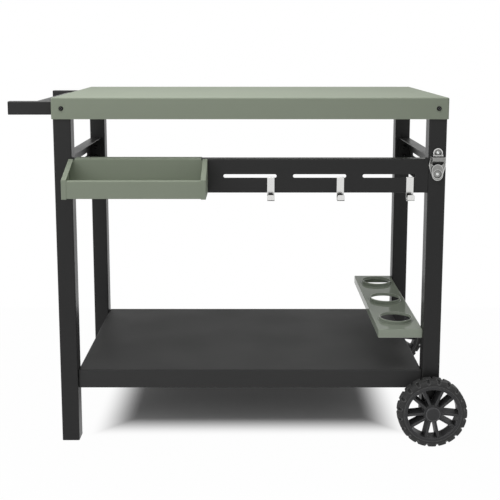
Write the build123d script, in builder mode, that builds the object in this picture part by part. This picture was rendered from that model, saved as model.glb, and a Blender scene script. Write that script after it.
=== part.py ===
from build123d import *
import os

# A serving cart, in millimetres. X runs along the worktop towards the wheels, Y from the front to the
# back, and Z up from the floor. The origin is on the floor, under the middle of the cart's outer box.

# Worktop, a sheet lid folded down on four sides
top_length = 889.0
top_depth = 506.0
top_height = 806.0
apron_height = 48.0
top_sheet = 1.5
top_bend = 1.5
top_corner = 2.5
return_width = 12.0
return_gap = 1.0

# Legs, square tubes that stand inside the corners of the lid
leg_size = 40.0
leg_wall = 1.5
leg_corner = 1.5
leg_inset = 3.0
plug_flange = 2.5
plug_depth = 12.0
plug_wall = 2.5
plug_clearance = 0.2
plug_headroom = 2.5

# Slotted rails, sheet channels between the legs
rail_drop = 90.0
rail_height = 77.0
rail_flange = 30.0
rail_sheet = 1.5
rail_bend = 1.5
slot_length = 120.0
slot_height = 8.0
slot_bridge = 30.0
front_slot_margin = 27.5
side_slot_margin = 55.0

# Lower shelf, a sheet pan turned upside down
shelf_top = 170.0
shelf_fold = 43.0
shelf_setback = 8.0
shelf_sheet = 1.2
shelf_bend = 2.0
shelf_corner = 2.0

# Cup holder, a narrow sheet pan with flanged holes
cup_top = 268.0
cup_fold = 20.0
cup_width = 103.0
cup_setback = 9.0
cup_sheet = 1.2
cup_bend = 1.0
cup_corner = 1.5
cup_radius = 37.5
cup_margin = 38.5
cup_bridge = 60.0
cup_rim_height = 7.5
cup_rim_bend = 3.0
cup_rim_land = 1.0

# Spice tray, a bent sheet that hangs on the front rail, closed by two end caps
tray_length = 313.0
tray_depth = 89.0
tray_front_height = 38.0
tray_front_fold = 14.0
tray_leg_overlap = 7.0
tray_sheet = 1.2
tray_bend = 1.0
tray_clearance = 0.4
tray_lip_inset = 14.0
tray_hem = 9.0
cap_flange = 11.0
cap_sheet = 1.0
cap_bend = 0.8

# Strip hooks, hung through the front slots
hook_width = 16.4
hook_sheet = 1.6
hook_clearance = 0.3
hook_end_gap = 4.8
hook_drop = 51.0
hook_lip = 14.0
hook_jaw = 20.0
hook_tail = 9.0
hook_bend = 0.25
hook_bottom_flat = 1.0
hook_count = 3

# Bottle opener, a casting on the right front leg
opener_rise = 25.0
opener_height = 73.0
opener_width = 38.0
opener_plate = 3.0
opener_tab_radius = 10.5
opener_tab_boss = 5.5
opener_tab_rim = 2.2
opener_shoulder = 4.0
opener_foot_radius = 12.0
opener_waist = 39.0
lip_width = 22.0
lip_height = 3.0
lip_rise = 3.0
lip_reach = 9.0
hood_width = 30.0
hood_top = 19.0
hood_height = 8.5
hood_reach = 20.0
hood_wall = 3.0
hood_round = 2.5
cheek_drop = 9.0
opener_window_width = 24.0
opener_window_height = 17.0
opener_boss = 7.0
opener_boss_radius = 13.0
opener_boss_drop = 22.0
opener_boss_rim = 2.5
opener_recess = 3.0
opener_head_radius = 3.6
opener_head_height = 2.4
opener_screw_radius = 2.0

# Push handle on the left side
handle_reach = 98.5
handle_gap = 40.0
arm_height = 30.0
arm_width = 25.0
arm_wall = 1.5
arm_corner = 1.5
arm_end_plate = 4.0
arm_cap_flange = 2.5
arm_cap_depth = 12.0
arm_cap_clearance = 0.2
bar_radius = 11.0
bar_wall = 1.5

# Wheels and axle on the right side
wheel_radius = 80.0
wheel_width = 35.0
wheel_gap = 3.0
axle_radius = 5.0
axle_clearance = 0.3
hub_radius = 16.5
hub_pocket_radius = 12.0
hub_pocket_depth = 13.0
rim_inner_radius = 58.5
rim_outer_radius = 65.5
rim_edge_chamfer = 1.2
web_thickness = 26.0
web_setback = 3.0
spoke_pairs = 5
window_turn = 90.0
window_start = 18.0
window_margin = 0.8
wide_window = (8.0, 41.0)
narrow_window = (8.0, 25.0)
window_draft = 2.6
window_hub_share = 0.8
window_rim_fillet = 3.0
spoke_bevel = 0.9
lug_count = 20
groove_width = 7.0
groove_depth = 4.0
tyre_shoulder = 6.0
sidewall_radius = 71.5
sidewall_step = 1.5
cap_disc_radius = 15.0
cap_disc_height = 2.5
cap_disc_crown = 1.2
cap_ring_depth = 4.0
cap_ring_wall = 1.4
cap_ring_clearance = 0.2
washer_radius = 10.0
pocket_washer = 1.5
nut_width = 16.0
nut_height = 7.5
axle_end = 1.0

# Screws of the frame and bolts of the handle
screw_head_radius = 5.25
screw_head_height = 3.0
screw_rim_height = 0.8
screw_radius = 3.0
screw_length = 14.0
screw_clearance = 0.25
screw_spread = 26.0
shelf_screw_spread = 18.0
bolt_head_radius = 7.0
bolt_head_height = 4.0
bolt_rim_height = 1.2
bolt_radius = 4.0
bolt_overhang = 6.0
dome_slope = 1.1
socket_share = 0.45
hex_sides = 6

SIDES = (-1, 1)
X_NAMES = {-1: "left", 1: "right"}
Y_NAMES = {-1: "front", 1: "rear"}

# Places of the legs about the middle of the worktop
leg_x = top_length / 2 - leg_inset - leg_size / 2
leg_y = top_depth / 2 - leg_inset - leg_size / 2
leg_out_x = leg_x + leg_size / 2
leg_out_y = leg_y + leg_size / 2
leg_in_x = leg_x - leg_size / 2
leg_in_y = leg_y - leg_size / 2
leg_outer_corner = leg_corner + leg_wall

# Levels above the floor
apron_bottom = top_height - apron_height
apron_middle = top_height - apron_height / 2
leg_top = top_height - top_sheet
axle_height = wheel_radius
leg_tail = axle_radius + plug_headroom + plug_depth
leg_bottoms = {-1: plug_flange, 1: axle_height - leg_tail}
rail_top = apron_bottom - rail_drop
rail_bottom = rail_top - rail_height
slot_level = rail_bottom + rail_height / 2
tray_bottom = rail_bottom + cap_sheet

# The middle of the worktop lies off the origin, so that the outer box is centred on it
left_reach = top_length / 2 + handle_reach
right_reach = leg_x + wheel_radius
front_reach = leg_out_y + tray_depth
rear_reach = leg_out_y + wheel_gap + wheel_width + cap_disc_height
mid_x = (left_reach - right_reach) / 2
mid_y = (front_reach - rear_reach) / 2

# Working planes through the middle of the worktop: seen from above, from the front and from the right
middle = (mid_x, mid_y, 0)
floor = Plane(origin=middle)
front = Plane(origin=middle, x_dir=(1, 0, 0), z_dir=(0, -1, 0))
side = Plane(origin=middle, x_dir=(0, 1, 0), z_dir=(1, 0, 0))


def seat(x, y, z, facing):
    """The plane under a screw's head, which faces the way the head does."""
    return Plane(origin=(mid_x + x, mid_y + y, z), z_dir=facing)


def spaced(length, margin, size, bridge):
    """Centres of as many openings of one size as fit in a length, evenly spaced about its middle."""
    span = length - 2 * margin
    count = int((span + bridge) / (size + bridge))
    pitch = (span - size) / max(count - 1, 1)
    return [pitch * (index - (count - 1) / 2) for index in range(count)]


def save(piece, name):
    """Labels a finished piece and writes it to its own file."""
    piece.part.label = name
    export_step(piece.part, f"parts/{name}.step")


def drill(seats, radius, depth):
    """Bores a hole at each seat, to the same depth on both sides, in the piece that is being built."""
    with Locations(*seats):
        Cylinder(radius, 2 * depth, mode=Mode.SUBTRACT)


def folded_sheet(points, radius, sheet):
    """Section of a sheet bent at the given corners, all of them on the middle of its thickness."""
    with BuildSketch() as section:
        with BuildLine():
            FilletPolyline(*points, radius=radius)
        trace(line_width=sheet)
    return section.sketch


def square_tube(width, height, corner, wall):
    """Section of a rectangular tube with rounded corners, given by its inner corner radius."""
    with BuildSketch() as section:
        RectangleRounded(width, height, corner + wall)
        RectangleRounded(width - 2 * wall, height - 2 * wall, corner, mode=Mode.SUBTRACT)
    return section.sketch


def folded_pan(length, depth, height, sheet, bend, corner):
    """A sheet folded down on four sides, open below, with its top face on the XY plane."""
    with BuildPart() as pan:
        with BuildSketch(Plane.XY.offset(-height)):
            RectangleRounded(length, depth, corner + sheet)
        extrude(amount=height)
        fillet(pan.faces().sort_by(Axis.Z)[-1].edges(), bend + sheet)
        offset(amount=-sheet, openings=pan.faces().sort_by(Axis.Z)[0])
    return pan.part


def socket_screw(head_radius, head_height, rim_height, shank_radius, shank_length):
    """A button-head screw along Z, with the underside of its head on the XY plane."""
    with BuildPart() as screw:
        with BuildSketch():
            Circle(head_radius)
        extrude(amount=head_height)
        dome = head_height - rim_height
        chamfer(screw.edges().sort_by(Axis.Z)[-1], dome, dome * dome_slope)
        with BuildSketch(Plane.XY.offset(head_height)):
            RegularPolygon(head_radius * socket_share, hex_sides)
        extrude(amount=-dome, mode=Mode.SUBTRACT)
        with BuildSketch():
            Circle(shank_radius)
        extrude(amount=-shank_length)
    return screw.part


def slotted_rail(length, slot_places):
    """A channel along Z, with its web on X = 0, its flanges towards +X and its lower edge on Y = 0."""
    low = rail_sheet / 2
    high = rail_height - low
    with BuildPart() as rail:
        with BuildSketch():
            add(folded_sheet([(rail_flange, low), (low, low), (low, high), (rail_flange, high)],
                             rail_bend + low, rail_sheet))
        extrude(amount=length)
        with BuildSketch(Plane.XY, Plane.XY.offset(length - rail_sheet)):
            with Locations((rail_flange / 2, rail_height / 2)):
                Rectangle(rail_flange - 2 * rail_bend, rail_height - rail_sheet)
        extrude(amount=rail_sheet)
        web = Plane(origin=(0, rail_height / 2, length / 2), x_dir=(0, 0, 1), z_dir=(-1, 0, 0))
        with BuildSketch(web):
            with Locations(*[(place, 0) for place in slot_places]):
                SlotOverall(slot_length, slot_height)
        extrude(amount=-2 * rail_sheet, mode=Mode.SUBTRACT)
    return rail.part


def window_outline(inset, inner_width, outer_width):
    """Outline of a window between two spokes, widening along X from the hub to the rim."""
    start = window_start + 2 * inset
    half_inner = (inner_width - inset) / 2
    half_outer = outer_width / 2 - inset
    with BuildSketch() as window:
        with BuildLine():
            Polyline((start, -half_inner), (window_end, -half_outer), (window_end, half_outer),
                     (start, half_inner), close=True)
        make_face()
        hub_corners, rim_corners = window.vertices().group_by(Axis.X)
        fillet(hub_corners, window_hub_share * half_inner)
        fillet(rim_corners, window_rim_fillet)
    return window.sketch


def spoke_window(inner_width, outer_width):
    """The space between two spokes: bevelled in front, then narrowing to the back so that the mould draws."""
    with BuildPart() as window:
        for level, inset in ((web_face, 0), (web_face - spoke_bevel, spoke_bevel),
                             (web_face - web_thickness, spoke_bevel + window_draft)):
            with BuildSketch(Plane.XY.offset(level)):
                add(window_outline(inset, inner_width, outer_width))
        loft(ruled=True)
    return window.part


# Screw seats, one list for each set of fasteners
top_seats = [seat(sx * leg_x, sy * top_depth / 2, apron_middle, (0, sy, 0)) for sx in SIDES for sy in SIDES]
rail_screw_levels = [slot_level - screw_spread / 2, slot_level + screw_spread / 2]
rail_seats = [seat(sx * (leg_in_x - rail_sheet), rail_flange / 2 - leg_out_y, level, (-sx, 0, 0))
              for sx in SIDES for level in rail_screw_levels]
side_rail_seats = [seat(sx * (leg_out_x - rail_flange / 2), sy * (leg_in_y - rail_sheet), level, (0, -sy, 0))
                   for sx in SIDES for sy in SIDES for level in rail_screw_levels]
shelf_half_depth = leg_out_y - shelf_setback
shelf_screw_y = (leg_in_y + shelf_half_depth) / 2
shelf_screw_levels = [shelf_top - (shelf_fold + sign * shelf_screw_spread) / 2 for sign in SIDES]
shelf_seats = [seat(sx * (leg_in_x - shelf_sheet), sy * shelf_screw_y, level, (-sx, 0, 0))
               for sx in SIDES for sy in SIDES for level in shelf_screw_levels]
cup_half_length = leg_out_y - cup_setback
cup_screw_y = (leg_in_y + cup_half_length) / 2
cup_seats = [seat(leg_in_x - cup_sheet, sy * cup_screw_y, cup_top - cup_fold / 2, (-1, 0, 0)) for sy in SIDES]
opener_top = rail_top + opener_rise
opener_tab_level = opener_top - opener_tab_radius
opener_foot_level = opener_top - opener_height + opener_foot_radius
opener_screw_level = opener_foot_level + opener_boss_rim
opener_seats = [seat(leg_x, -leg_out_y - opener_plate, opener_tab_level, (0, -1, 0)),
                seat(leg_x, -leg_out_y - opener_boss + opener_recess, opener_screw_level, (0, -1, 0))]
bolt_length = leg_size + leg_inset + arm_end_plate + bolt_overhang
bolt_seats = [seat(-leg_in_x, sy * leg_y, apron_middle, (1, 0, 0)) for sy in SIDES]
screw_hole = screw_radius + screw_clearance
bolt_hole = bolt_radius + screw_clearance
opener_hole = opener_screw_radius + screw_clearance
leg_seats = top_seats + rail_seats + side_rail_seats + shelf_seats + cup_seats

# Places of the slots, hooks and wheels
front_rail_length = 2 * leg_in_x
side_rail_length = 2 * leg_in_y
front_slots = spaced(front_rail_length, front_slot_margin, slot_length, slot_bridge)
side_slots = spaced(side_rail_length, side_slot_margin, slot_length, slot_bridge)
hook_offset = (slot_length - hook_width) / 2 - hook_end_gap
wheel_y = leg_out_y + wheel_gap + wheel_width / 2
window_end = rim_inner_radius - window_margin
web_face = wheel_width / 2 - web_setback
wheel_planes = {
    sy: Plane(origin=(mid_x + leg_x, mid_y + sy * wheel_y, axle_height), x_dir=(-sy, 0, 0), z_dir=(0, sy, 0))
    for sy in SIDES
}

os.makedirs("parts", exist_ok=True)

# Worktop
return_length_x = 2 * (leg_in_x - return_gap)
return_length_y = 2 * (leg_in_y - return_gap)
with BuildPart() as table_top:
    with Locations(floor.offset(top_height)):
        add(folded_pan(top_length, top_depth, apron_height, top_sheet, top_bend, top_corner))
    with BuildSketch(floor.offset(apron_bottom)):
        with GridLocations(0, top_depth - return_width, 1, 2):
            Rectangle(return_length_x, return_width)
        with GridLocations(top_length - return_width, 0, 2, 1):
            Rectangle(return_width, return_length_y)
    extrude(amount=top_sheet)
    drill(top_seats, screw_hole, screw_length)
    drill(bolt_seats, bolt_hole, bolt_length)
save(table_top, "table_top")

# Legs and the plugs in their lower ends
plug_size = leg_size - 2 * (leg_wall + plug_clearance)
plug_pocket = plug_size - 2 * plug_wall
for sx in SIDES:
    for sy in SIDES:
        corner_name = f"{Y_NAMES[sy]}_{X_NAMES[sx]}"
        foot_point = (sx * leg_x, sy * leg_y)
        leg_bottom = leg_bottoms[sx]
        with BuildPart() as leg:
            with BuildSketch(floor.offset(leg_bottom)):
                with Locations(foot_point):
                    add(square_tube(leg_size, leg_size, leg_corner, leg_wall))
            extrude(amount=leg_top - leg_bottom)
            drill(leg_seats, screw_hole, screw_length)
            drill(opener_seats, opener_hole, screw_length)
            drill(bolt_seats, bolt_hole, bolt_length)
            drill(wheel_planes.values(), axle_radius + axle_clearance, wheel_y)
        save(leg, f"leg_{corner_name}")
        with BuildPart() as plug:
            with BuildSketch(floor.offset(leg_bottom - plug_flange)):
                with Locations(foot_point):
                    RectangleRounded(leg_size, leg_size, leg_outer_corner)
            extrude(amount=plug_flange)
            with BuildSketch(floor.offset(leg_bottom)):
                with Locations(foot_point):
                    RectangleRounded(plug_size, plug_size, leg_corner)
                    Rectangle(plug_pocket, plug_pocket, mode=Mode.SUBTRACT)
            extrude(amount=plug_depth)
        save(plug, f"foot_{corner_name}" if sx < 0 else f"leg_plug_{corner_name}")

# Slotted rails: one across the front, and one on each side with its web outwards
front_rail_start = (mid_x - leg_in_x, mid_y - leg_out_y, rail_bottom)
with BuildPart() as hook_rail:
    with Locations(Plane(origin=front_rail_start, x_dir=(0, 1, 0), z_dir=(1, 0, 0))):
        add(slotted_rail(front_rail_length, front_slots))
    drill(rail_seats, screw_hole, screw_length)
save(hook_rail, "hook_rail")

for sx in SIDES:
    rail_start = (mid_x + sx * leg_out_x, mid_y - sx * leg_in_y, rail_bottom)
    with BuildPart() as side_rail:
        with Locations(Plane(origin=rail_start, x_dir=(-sx, 0, 0), z_dir=(0, sx, 0))):
            add(slotted_rail(side_rail_length, side_slots))
        drill(side_rail_seats, screw_hole, screw_length)
    save(side_rail, f"side_rail_{X_NAMES[sx]}")

# Lower shelf, with a return along each fold
shelf_bottom = shelf_top - shelf_fold
shelf_depth = 2 * shelf_half_depth
with BuildPart() as lower_shelf:
    with Locations(floor.offset(shelf_top)):
        add(folded_pan(front_rail_length, shelf_depth, shelf_fold, shelf_sheet, shelf_bend, shelf_corner))
    with BuildSketch(floor.offset(shelf_bottom)):
        with GridLocations(0, shelf_depth - return_width, 1, 2):
            Rectangle(return_length_x - 2 * return_width, return_width)
        with GridLocations(front_rail_length - return_width, 0, 2, 1):
            Rectangle(return_width, return_length_y)
    extrude(amount=shelf_sheet)
    drill(shelf_seats, screw_hole, screw_length)
save(lower_shelf, "lower_shelf")

# Cup holder, against the inner faces of the right legs, with a drawn-up rim round each hole
cup_x = leg_in_x - cup_width / 2
cup_holes = [(cup_x, place) for place in spaced(2 * cup_half_length, cup_margin, 2 * cup_radius, cup_bridge)]
rim_line = cup_radius + cup_sheet / 2
rim_base = cup_radius + cup_sheet + cup_rim_bend + cup_rim_land
sheet_line = -cup_sheet / 2
with BuildPart() as cup_rim:
    with BuildSketch(Plane.XZ):
        add(folded_sheet([(rim_base, sheet_line), (rim_line, sheet_line), (rim_line, cup_rim_height)],
                         cup_rim_bend + cup_sheet / 2, cup_sheet))
    revolve(axis=Axis.Z)
with BuildPart() as cup_holder:
    with Locations(floor.offset(cup_top) * Location((cup_x, 0))):
        add(folded_pan(cup_width, 2 * cup_half_length, cup_fold, cup_sheet, cup_bend, cup_corner))
    with BuildSketch(floor.offset(cup_top)):
        with Locations(*cup_holes):
            Circle(rim_base)
    extrude(amount=-cup_fold, mode=Mode.SUBTRACT)
    with Locations(floor.offset(cup_top)):
        with Locations(*cup_holes):
            add(cup_rim.part)
    drill(cup_seats, screw_hole, screw_length)
save(cup_holder, "cup_holder")

# Spice tray: hem behind the rail, lip over it, back wall, bottom, front wall and front fold
tray_left = -leg_in_x - tray_leg_overlap
tray_right = tray_left + tray_length
tray_back = -leg_out_y - tray_clearance
tray_face = -leg_out_y - tray_depth
tray_end_gap = cap_sheet + cap_bend
tray_half_sheet = tray_sheet / 2
hem_line = rail_flange + tray_bend + tray_half_sheet - leg_out_y
hem_bottom = rail_top - tray_hem
lip_line = rail_top + tray_half_sheet
back_line = tray_back - tray_half_sheet
bottom_line = tray_bottom + tray_half_sheet
front_line = tray_face + cap_sheet + tray_half_sheet
fold_line = bottom_line + tray_front_height
tray_section = [(hem_line, hem_bottom), (hem_line, lip_line), (back_line, lip_line), (back_line, bottom_line),
                (front_line, bottom_line), (front_line, fold_line), (front_line + tray_front_fold, fold_line)]
cap_front_top = fold_line + tray_half_sheet + 2 * cap_sheet
wall_top = rail_top - 2 * (cap_sheet + tray_clearance)
notch_middle = (hem_line + back_line) / 2
notch_width = hem_line - back_line + 2 * tray_sheet
with BuildPart() as tray_shell:
    with BuildSketch(side.offset(tray_left + tray_end_gap)):
        add(folded_sheet(tray_section, tray_bend + tray_half_sheet, tray_sheet))
    extrude(amount=tray_length - 2 * tray_end_gap)
    with BuildSketch(floor.offset(wall_top)):
        with Locations((tray_left, notch_middle), (tray_right, notch_middle)):
            Rectangle(2 * tray_lip_inset, notch_width)
    extrude(amount=rail_height, mode=Mode.SUBTRACT)
    with BuildSketch(floor.offset(hem_bottom)):
        with Locations((tray_left, hem_line), (tray_right, hem_line)):
            Rectangle(2 * tray_lip_inset, rail_flange)
    extrude(amount=tray_hem, mode=Mode.SUBTRACT)
save(tray_shell, "tray_shell")

for sx in SIDES:
    with BuildPart() as tray_end:
        with BuildSketch(side.offset(tray_left if sx < 0 else tray_right)):
            with BuildLine():
                Polyline((tray_face, rail_bottom), (tray_back, rail_bottom), (tray_back, rail_top),
                         (tray_face, cap_front_top), close=True)
            make_face()
        extrude(amount=-sx * cap_flange)
        inner_face, outer_face = tray_end.faces().filter_by(Axis.X).sort_by(Axis((0, 0, 0), (sx, 0, 0)))
        back_face = tray_end.faces().filter_by(Axis.Y).sort_by(Axis.Y)[-1]
        offset(amount=-cap_sheet, openings=[inner_face, back_face])
        outer_face = tray_end.faces().filter_by(Axis.X).sort_by(Axis((0, 0, 0), (sx, 0, 0)))[-1]
        fillet(outer_face.edges().sort_by(Axis.Y)[:-1], cap_bend)
    save(tray_end, f"tray_end_{X_NAMES[sx]}")

# Hooks: tail behind the rail, over the lower edge of the slot, down the front and up into a lip
hook_half_sheet = hook_sheet / 2
hook_back = rail_sheet + hook_clearance + hook_half_sheet - leg_out_y
hook_front = -leg_out_y - hook_clearance - hook_half_sheet
hook_seat = slot_level - slot_height / 2 + hook_half_sheet
hook_bottom = hook_seat - hook_drop
hook_face = hook_front - hook_jaw
hook_fold = hook_bend + hook_half_sheet
hook_curve = (hook_jaw - hook_bottom_flat) / 2
hook_section = [(hook_back, hook_seat - hook_tail), (hook_back, hook_seat), (hook_front, hook_seat),
                (hook_front, hook_bottom), (hook_face, hook_bottom), (hook_face, hook_bottom + hook_lip)]
for hook_name, slot_place in zip(("left", "middle", "right"), front_slots[-hook_count:]):
    with BuildPart() as hook:
        with BuildSketch(side.offset(slot_place + hook_offset - hook_width / 2)):
            add(folded_sheet(hook_section, [hook_fold, hook_fold, hook_curve, hook_curve], hook_sheet))
        extrude(amount=hook_width)
    save(hook, f"hook_{hook_name}")

# Bottle opener: plate with a dished tab, hood with side cheeks over a window, and a dished boss below
opener_back = front.offset(leg_out_y)
opener_face = opener_back.offset(opener_plate)
shoulder_level = opener_top - opener_waist
shoulder_x = opener_width / 2 - opener_shoulder
hood_ceiling = opener_top - hood_top
hood_floor = hood_ceiling - hood_height
hood_front = -leg_out_y - hood_reach
hollow_top = hood_ceiling - hood_wall
hollow_front = hood_front + hood_wall
plate_front = -leg_out_y - opener_plate
cheek_foot = hood_floor - cheek_drop
window_level = hollow_top - opener_window_height / 2
boss_level = hood_floor - opener_boss_drop
lip_level = hood_ceiling + lip_rise
opener_foot = (leg_x, opener_foot_level)
with BuildPart() as bottle_opener:
    with BuildSketch(opener_back):
        with Locations((leg_x - shoulder_x, shoulder_level), (leg_x + shoulder_x, shoulder_level)):
            Circle(opener_shoulder)
        with Locations(opener_foot):
            Circle(opener_foot_radius)
        with Locations((leg_x, hood_ceiling - hood_height / 2)):
            Rectangle(hood_width, hood_height)
        make_hull()
    extrude(amount=opener_plate)
    with BuildSketch(opener_back):
        with Locations((leg_x, opener_tab_level)):
            Circle(opener_tab_radius)
        with Locations((leg_x, hood_ceiling)):
            Rectangle(2 * opener_tab_radius, opener_tab_level - hood_ceiling, align=(Align.CENTER, Align.MIN))
    extrude(amount=opener_tab_boss)
    with BuildSketch(opener_face):
        with Locations((leg_x, opener_tab_level)):
            Circle(opener_tab_radius - opener_tab_rim)
    extrude(amount=opener_tab_boss, mode=Mode.SUBTRACT)
    with BuildSketch(opener_back):
        with Locations((leg_x, lip_level)):
            Rectangle(lip_width, lip_height)
    extrude(amount=lip_reach)
    with BuildSketch(side.offset(leg_x - hood_width / 2)):
        with BuildLine():
            Polyline((-leg_out_y, hood_ceiling), (hood_front, hood_ceiling), (hood_front, hood_floor),
                     (plate_front, cheek_foot), (-leg_out_y, cheek_foot), close=True)
        make_face()
    extrude(amount=hood_width)
    hood_edges = bottle_opener.faces().sort_by(Axis.Y)[0].edges()
    fillet(hood_edges, hood_round)
    with BuildSketch(side.offset(leg_x - hood_width / 2 + hood_wall)):
        with BuildLine():
            Polyline((plate_front, hollow_top), (hollow_front, hollow_top), (hollow_front, cheek_foot),
                     (plate_front, cheek_foot), close=True)
        make_face()
    extrude(amount=hood_width - 2 * hood_wall, mode=Mode.SUBTRACT)
    with BuildSketch(opener_back):
        with Locations((leg_x, window_level)):
            Rectangle(opener_window_width, opener_window_height)
    extrude(amount=opener_plate, mode=Mode.SUBTRACT)
    with BuildSketch(opener_back):
        with Locations((leg_x, boss_level)):
            Circle(opener_boss_radius)
        with Locations(opener_foot):
            Circle(opener_foot_radius)
        make_hull()
    extrude(amount=opener_boss)
    with BuildSketch(opener_back.offset(opener_boss)):
        with Locations((leg_x, opener_screw_level)):
            Circle(opener_foot_radius - opener_boss_rim)
    extrude(amount=-opener_recess, mode=Mode.SUBTRACT)
    drill(opener_seats, opener_hole, screw_length)
save(bottle_opener, "bottle_opener")

# Push handle: two tube arms bolted to the left legs, a round bar between them and plugs in the ends
arm_face = side.offset(-top_length / 2)
arm_end = arm_face.offset(arm_cap_flange - handle_reach)
arm_outer_corner = arm_corner + arm_wall
cap_width = arm_width - 2 * (arm_wall + arm_cap_clearance)
cap_height = arm_height - 2 * (arm_wall + arm_cap_clearance)
for sy in SIDES:
    with BuildPart() as handle_arm:
        with BuildSketch(arm_face):
            with Locations((sy * leg_y, apron_middle)):
                add(square_tube(arm_width, arm_height, arm_corner, arm_wall))
        extrude(amount=arm_cap_flange - handle_reach)
        with BuildSketch(arm_face):
            with Locations((sy * leg_y, apron_middle)):
                RectangleRounded(arm_width, arm_height, arm_outer_corner)
        extrude(amount=-arm_end_plate)
        drill(bolt_seats, bolt_hole, bolt_length)
    save(handle_arm, f"handle_arm_{Y_NAMES[sy]}")

with BuildPart() as handle_caps:
    with BuildSketch(arm_end):
        with Locations((-leg_y, apron_middle), (leg_y, apron_middle)):
            RectangleRounded(arm_width, arm_height, arm_outer_corner)
    extrude(amount=-arm_cap_flange)
    with BuildSketch(arm_end):
        with Locations((-leg_y, apron_middle), (leg_y, apron_middle)):
            RectangleRounded(cap_width, cap_height, arm_corner)
    extrude(amount=arm_cap_depth)
save(handle_caps, "handle_caps")

bar_half_length = leg_y - arm_width / 2
with BuildPart() as handle_bar:
    with BuildSketch(front.offset(-bar_half_length)):
        with Locations((-top_length / 2 - handle_gap - bar_radius, apron_middle)):
            Circle(bar_radius)
            Circle(bar_radius - bar_wall, mode=Mode.SUBTRACT)
    extrude(amount=2 * bar_half_length)
save(handle_bar, "handle_bar")

# Axle through the right legs, with spacers inside the wheels, and washers and nuts in the hub pockets
pocket_floor = wheel_width / 2 - hub_pocket_depth
nut_level = pocket_floor + pocket_washer
axle_half_length = wheel_y + nut_level + nut_height + axle_end
with BuildPart() as axle:
    with Locations(front * Location((leg_x, axle_height, 0))):
        Cylinder(axle_radius, 2 * axle_half_length)
save(axle, "axle")

with BuildPart() as axle_washers:
    for wheel_plane in wheel_planes.values():
        with BuildSketch(wheel_plane.offset(-wheel_gap - wheel_width / 2)):
            Circle(washer_radius)
            Circle(axle_radius + axle_clearance, mode=Mode.SUBTRACT)
        extrude(amount=wheel_gap)
        with BuildSketch(wheel_plane.offset(pocket_floor)):
            Circle(washer_radius)
            Circle(axle_radius + axle_clearance, mode=Mode.SUBTRACT)
        extrude(amount=pocket_washer)
save(axle_washers, "axle_washers")

with BuildPart() as axle_nuts:
    for wheel_plane in wheel_planes.values():
        with BuildSketch(wheel_plane.offset(nut_level)):
            RegularPolygon(nut_width / 2, hex_sides, major_radius=False)
            Circle(axle_radius, mode=Mode.SUBTRACT)
        extrude(amount=nut_height)
save(axle_nuts, "axle_nuts")

# Wheel, built once about its own axis with the outer side up: moulded rim with windows between paired spokes
spoke_turn = 360 / spoke_pairs
with BuildPart() as wheel_rim:
    with BuildSketch(Plane.XY.offset(web_face)):
        Circle((rim_inner_radius + rim_outer_radius) / 2)
    extrude(amount=-web_thickness)
    with PolarLocations(0, spoke_pairs, start_angle=window_turn):
        add(spoke_window(*wide_window), mode=Mode.SUBTRACT)
    with PolarLocations(0, spoke_pairs, start_angle=window_turn + spoke_turn / 2):
        add(spoke_window(*narrow_window), mode=Mode.SUBTRACT)
    with BuildSketch(Plane.XY.offset(-wheel_width / 2)):
        Circle(rim_outer_radius)
        Circle(rim_inner_radius, mode=Mode.SUBTRACT)
        Circle(hub_radius)
    extrude(amount=wheel_width)
    rim_edges = wheel_rim.edges().filter_by(GeomType.CIRCLE).filter_by(lambda edge: edge.radius > window_end)
    chamfer(rim_edges.group_by(Axis.Z)[-1] + rim_edges.group_by(Axis.Z)[0], rim_edge_chamfer)
    with Locations((0, 0, wheel_width / 2)):
        CounterBoreHole(axle_radius + axle_clearance, hub_pocket_radius, hub_pocket_depth)

# Treaded tyre: two rows of lugs, the outer row half a lug off the inner one
lug_turn = 360 / lug_count
row_turns = {-1: window_turn, 1: window_turn + lug_turn / 2}
with BuildPart() as wheel_tyre:
    with BuildSketch(Plane.XZ):
        with Locations((rim_outer_radius, 0)):
            Rectangle(wheel_radius - rim_outer_radius, wheel_width, align=(Align.MIN, Align.CENTER))
    revolve(axis=Axis.Z)
    for row in SIDES:
        with BuildSketch():
            with PolarLocations(wheel_radius, lug_count, start_angle=row_turns[row]):
                Rectangle(2 * groove_depth, groove_width)
        extrude(amount=row * wheel_width / 2, mode=Mode.SUBTRACT)
    with BuildSketch(Plane.XZ) as tyre_section:
        Rectangle(wheel_radius, wheel_width, align=(Align.MIN, Align.CENTER))
        fillet(tyre_section.vertices().group_by(Axis.X)[-1], tyre_shoulder)
        with GridLocations(0, wheel_width, 1, 2):
            Rectangle(sidewall_radius, 2 * sidewall_step, align=(Align.MIN, Align.CENTER), mode=Mode.SUBTRACT)
    revolve(axis=Axis.Z, mode=Mode.INTERSECT)

# Hub cap: round-edged disc on the hub with a ring in the pocket
ring_radius = hub_pocket_radius - cap_ring_clearance
with BuildPart() as hub_cap:
    with BuildSketch():
        Circle(cap_disc_radius)
    extrude(amount=cap_disc_height)
    fillet(hub_cap.edges().sort_by(Axis.Z)[-1], cap_disc_crown)
    with BuildSketch():
        Circle(ring_radius)
        Circle(ring_radius - cap_ring_wall, mode=Mode.SUBTRACT)
    extrude(amount=-cap_ring_depth)

for sy, wheel_plane in wheel_planes.items():
    for piece, name, level in ((wheel_rim, "wheel_rim", 0), (wheel_tyre, "wheel_tyre", 0),
                               (hub_cap, "hub_cap", wheel_width / 2)):
        with BuildPart() as wheel_piece:
            with Locations(wheel_plane.offset(level)):
                add(piece.part)
        save(wheel_piece, f"{name}_{Y_NAMES[sy]}")

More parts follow.
